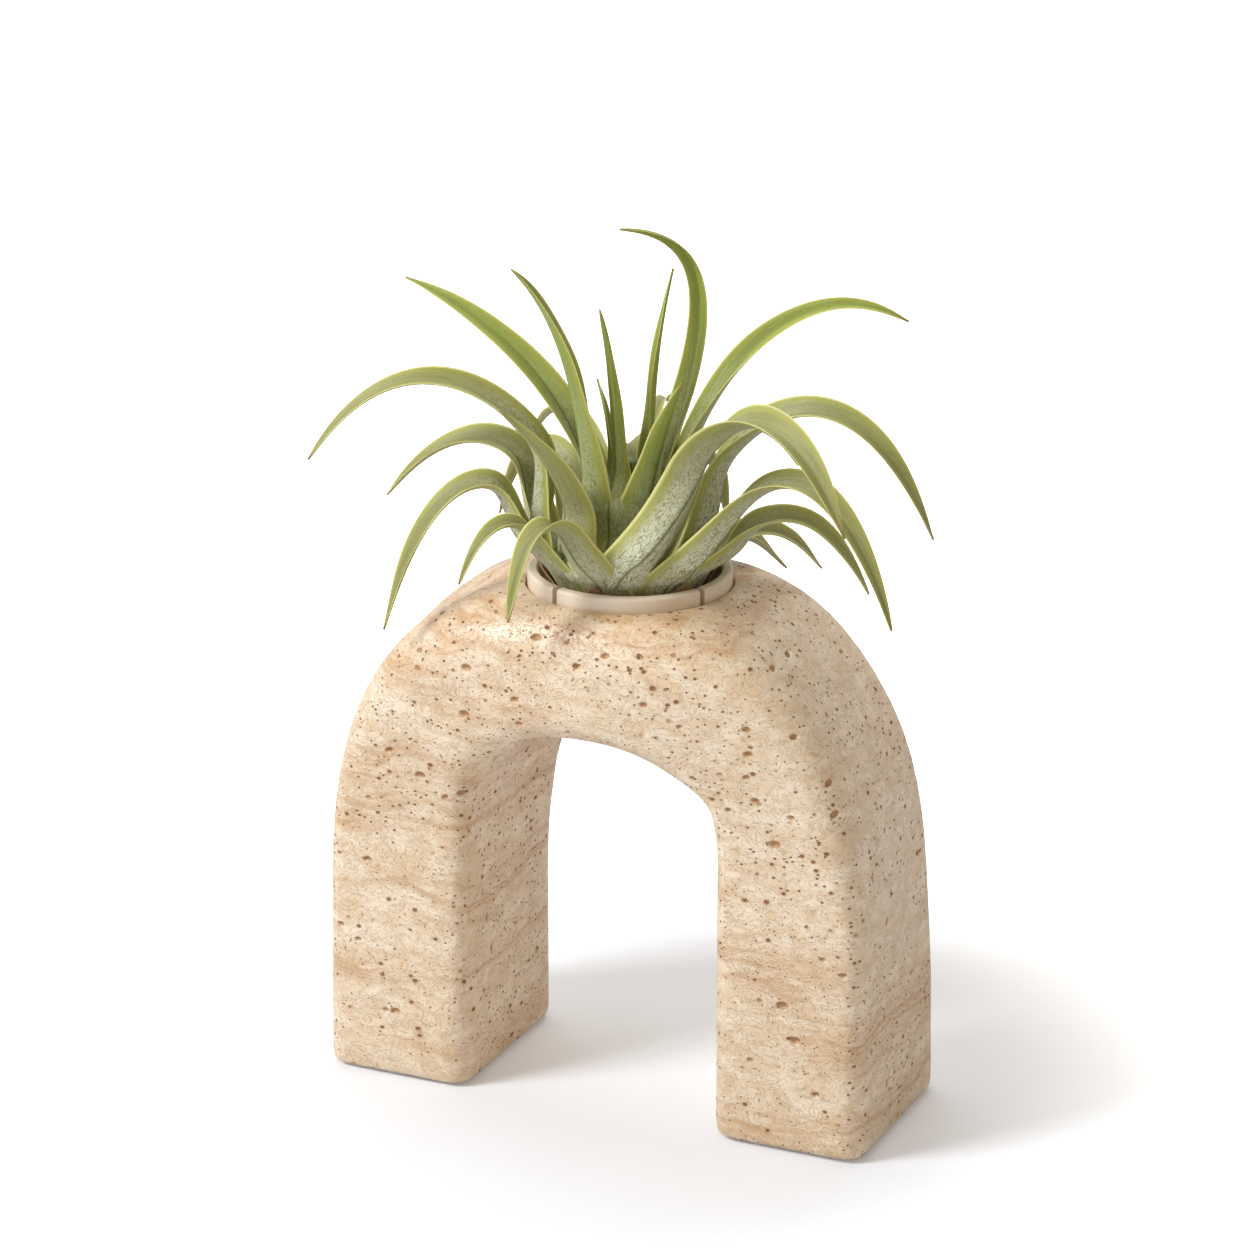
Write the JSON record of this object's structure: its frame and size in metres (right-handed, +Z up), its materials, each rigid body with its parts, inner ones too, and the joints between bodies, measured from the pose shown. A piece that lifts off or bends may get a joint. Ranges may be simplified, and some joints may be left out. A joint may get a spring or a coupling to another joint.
{
  "type": "air plant holder",
  "caption": "Stone arch with a round socket in its crown, a slitted collar that drops in and lifts out, and an air plant seated in the collar.",
  "frame": {"origin": "middle of the footprint on the surface that the arch stands on", "axes": "+X along the arch from its left foot to its right foot, +Y towards the back, +Z up"},
  "size_m": [0.1515, 0.0927, 0.2156],
  "materials": {
    "stone": "satin",
    "pad": "matte",
    "collar": "matte",
    "bulb": "matte",
    "dry_leaf": "matte",
    "leaf": "matte"
  },
  "bodies": {
    "arch": {"arch_body": "stone", "foot_pad_left": "pad", "foot_pad_right": "pad"},
    "collar": {"retaining_collar": "collar"},
    "plant": {"dry_scale_1": "dry_leaf", "dry_scale_2": "dry_leaf", "dry_scale_3": "dry_leaf", "dry_scale_4": "dry_leaf", "dry_scale_5": "dry_leaf", "dry_scale_6": "dry_leaf", "leaf_back_high_left": "leaf", "leaf_back_high_middle": "leaf", "leaf_back_high_right": "leaf", "leaf_back_low_left": "leaf", "leaf_back_low_middle": "leaf", "leaf_back_low_right": "leaf", "leaf_centre_bud": "leaf", "leaf_centre_curled": "leaf", "leaf_centre_front": "leaf", "leaf_centre_lance": "leaf", "leaf_centre_tall": "leaf", "leaf_front_broad": "leaf", "leaf_front_hanging": "leaf", "leaf_front_short": "leaf", "leaf_left_arched": "leaf", "leaf_left_crest": "leaf", "leaf_left_drooping": "leaf", "leaf_left_high": "leaf", "leaf_left_long": "leaf", "leaf_right_arched": "leaf", "leaf_right_broad": "leaf", "leaf_right_high": "leaf", "leaf_right_long": "leaf", "leaf_right_low": "leaf", "leaf_right_rear": "leaf", "leaf_right_short": "leaf", "plant_bulb": "bulb"}
  },
  "joints": [
    {"name": "collar_lift", "type": "slide", "parent": "arch", "child": "collar", "axis": [0, 0, 1], "range_m": [0, 0.0275]},
    {"name": "plant_lift", "type": "slide", "parent": "collar", "child": "plant", "axis": [0, 0, 1], "range_m": [0, 0.0185]}
  ]
}
